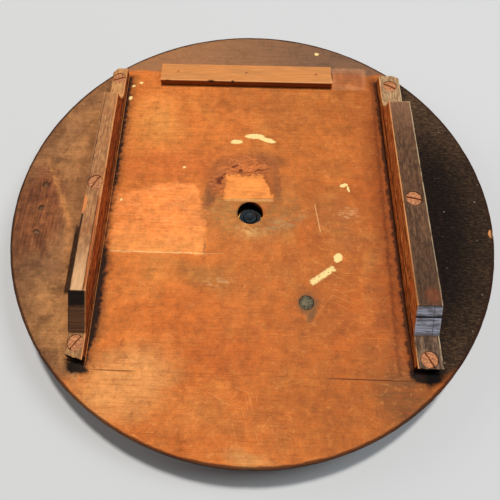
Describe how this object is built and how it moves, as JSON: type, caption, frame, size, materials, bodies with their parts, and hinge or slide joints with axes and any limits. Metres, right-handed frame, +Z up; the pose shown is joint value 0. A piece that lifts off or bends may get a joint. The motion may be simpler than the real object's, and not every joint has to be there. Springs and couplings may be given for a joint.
{
  "type": "lazy susan turntable",
  "caption": "Round wooden turntable top with two side rails and a rear stop strip, turning on a ball race and centre pin over a smaller footed base.",
  "frame": {"origin": "On the turning axis, on the surface that the feet stand on.", "axes": "+Z up along the turning axis; +Y towards the stop strip at the back; +X to the right seen from the open front."},
  "size_m": [0.406, 0.406, 0.0676],
  "materials": {
    "board_wood": "old worn orange-brown board, dull varnish, scratched and stained",
    "rail_wood": "old dark brown hardwood, worn pale along its edges",
    "strip_wood": "newer pale softwood, bare",
    "plug_wood": "grey old filler plugs",
    "base_wood": "dark stained hardwood, dull varnish",
    "foot_wood": "near black turned hardwood",
    "rusty_screw": "iron wood screws with brown rust",
    "steel": "oiled dark steel",
    "brass": "dull old brass"
  },
  "bodies": {
    "base": {"base_board": "base_wood", "foot_1": "foot_wood", "foot_2": "foot_wood", "foot_3": "foot_wood", "foot_4": "foot_wood", "foot_screw_1": "steel", "foot_screw_2": "steel", "foot_screw_3": "steel", "foot_screw_4": "steel", "lower_race": "steel", "lower_race_screw_1": "steel", "lower_race_screw_2": "steel", "lower_race_screw_3": "steel", "lower_race_screw_4": "steel", "pivot_clip": "steel", "pivot_pin": "steel", "pivot_screw_1": "steel", "pivot_screw_2": "steel", "pivot_screw_3": "steel", "pivot_washer": "steel"},
    "ball_cage": {"ball_1": "steel", "ball_10": "steel", "ball_11": "steel", "ball_12": "steel", "ball_2": "steel", "ball_3": "steel", "ball_4": "steel", "ball_5": "steel", "ball_6": "steel", "ball_7": "steel", "ball_8": "steel", "ball_9": "steel", "ball_cage": "brass"},
    "turntable": {"front_board": "board_wood", "left_rail": "rail_wood", "left_rail_screw_front": "rusty_screw", "left_rail_screw_middle": "rusty_screw", "left_rail_screw_rear": "rusty_screw", "middle_board": "board_wood", "pivot_bush": "brass", "rear_board": "board_wood", "right_rail": "rail_wood", "right_rail_screw_front": "rusty_screw", "right_rail_screw_middle": "rusty_screw", "right_rail_screw_rear": "rusty_screw", "round_plug": "plug_wood", "small_plug_1": "plug_wood", "small_plug_2": "plug_wood", "small_plug_3": "plug_wood", "stop_strip": "strip_wood", "strip_nail_left": "rusty_screw", "strip_nail_middle": "rusty_screw", "strip_nail_right": "rusty_screw", "upper_race": "steel", "upper_race_screw_1": "steel", "upper_race_screw_2": "steel", "upper_race_screw_3": "steel", "upper_race_screw_4": "steel"}
  },
  "joints": [
    {"name": "turntable_spin", "type": "hinge", "parent": "base", "child": "turntable", "pos_m": [0, 0, 0.0413], "axis": [0, 0, 1], "continuous": true},
    {"name": "cage_spin", "type": "hinge", "parent": "base", "child": "ball_cage", "pos_m": [0, 0, 0.0208], "axis": [0, 0, 1], "continuous": true}
  ],
  "couplings": [
    {"joint": "cage_spin", "follows": "turntable_spin", "ratio": 0.5}
  ]
}
